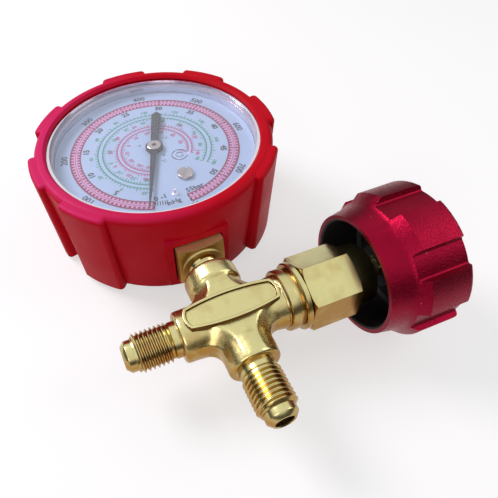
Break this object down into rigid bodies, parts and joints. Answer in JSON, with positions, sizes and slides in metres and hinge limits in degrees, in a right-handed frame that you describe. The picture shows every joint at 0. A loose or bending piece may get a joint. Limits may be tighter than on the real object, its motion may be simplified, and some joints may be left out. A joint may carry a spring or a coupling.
{
  "type": "refrigerant manifold gauge",
  "caption": "One-valve brass refrigerant manifold with two male flare ports, a fluted knob and a booted dial pressure gauge.",
  "frame": {"origin": "centre of the flat back face of the gauge's boot", "axes": "+Z out of the dial, +X along the valve arm towards the knob, +Y from the manifold to the gauge, so the two ports point along -X and -Y"},
  "size_m": [0.1008, 0.1339, 0.0436],
  "materials": {
    "moulded_rubber": "moulded, satin",
    "case_steel": "drawn and painted grey",
    "bezel_steel": "pressed and painted grey",
    "black_rubber": "moulded, matt",
    "white_silicone": "moulded, matt",
    "clear_lens": "moulded clear polycarbonate",
    "dial_enamel": "enamelled aluminium with a printed scale",
    "pointer_paint": "blued black paint",
    "nickel": "nickel plated",
    "brass": "forged and machined",
    "machined_brass": "turned and milled",
    "movement_brass": "stamped",
    "spring_bronze": "drawn tube and wire of bronze",
    "steel": "plated",
    "ptfe": "turned",
    "anodised_red": "die cast and coated red, glossy"
  },
  "bodies": {
    "gauge_and_manifold": {"boot": "moulded_rubber", "case": "case_steel", "case_plug": "black_rubber", "case_screws": "steel", "bezel": "bezel_steel", "lens": "clear_lens", "lens_gasket": "white_silicone", "dial": "dial_enamel", "zero_screw": "machined_brass", "stop_pin": "nickel", "hairspring": "spring_bronze", "bourdon_tube": "spring_bronze", "tube_end": "machined_brass", "movement_back_plate": "movement_brass", "movement_front_plate": "movement_brass", "movement_pillars": "machined_brass", "movement_screws": "steel", "socket": "machined_brass", "manifold_body": "brass", "packing_nut": "machined_brass", "gland_washer": "ptfe", "stem_o_rings": "black_rubber"},
    "sector": {"sector_gear": "movement_brass"},
    "link": {"link_rod": "movement_brass"},
    "pointer_and_pinion": {"pointer": "pointer_paint", "pointer_cap": "nickel", "pinion": "machined_brass"},
    "seat": {"seat_disc": "ptfe"},
    "knob_and_stem": {"knob": "anodised_red", "valve_stem": "machined_brass", "knob_screw": "steel", "knob_washer": "steel", "knob_cap": "anodised_red"}
  },
  "joints": [
    {"name": "sector_turn", "type": "hinge", "parent": "gauge_and_manifold", "child": "sector", "pos_m": [0, -0.015, 0], "axis": [0, 0, 1], "range_deg": [-1, 37.2]},
    {"name": "pointer_turn", "type": "hinge", "parent": "gauge_and_manifold", "child": "pointer_and_pinion", "pos_m": [0, 0, 0], "axis": [0, 0, 1], "range_deg": [-335, 10]},
    {"name": "link_turn", "type": "hinge", "parent": "sector", "child": "link", "pos_m": [0.00025, -0.01899, 0], "axis": [0, 0, 1], "range_deg": [-38, 2]},
    {"name": "valve_travel", "type": "slide", "parent": "gauge_and_manifold", "child": "seat", "axis": [1, 0, 0], "range_m": [0, 0.0031]},
    {"name": "knob_turn", "type": "hinge", "parent": "seat", "child": "knob_and_stem", "pos_m": [0, -0.0623, 0.014], "axis": [1, 0, 0], "range_deg": [0, 900]}
  ],
  "couplings": [
    {"joint": "pointer_turn", "follows": "sector_turn", "ratio": -9},
    {"joint": "link_turn", "follows": "sector_turn", "ratio": -1},
    {"joint": "knob_turn", "follows": "valve_travel", "rad_per_m": 5026.5}
  ]
}
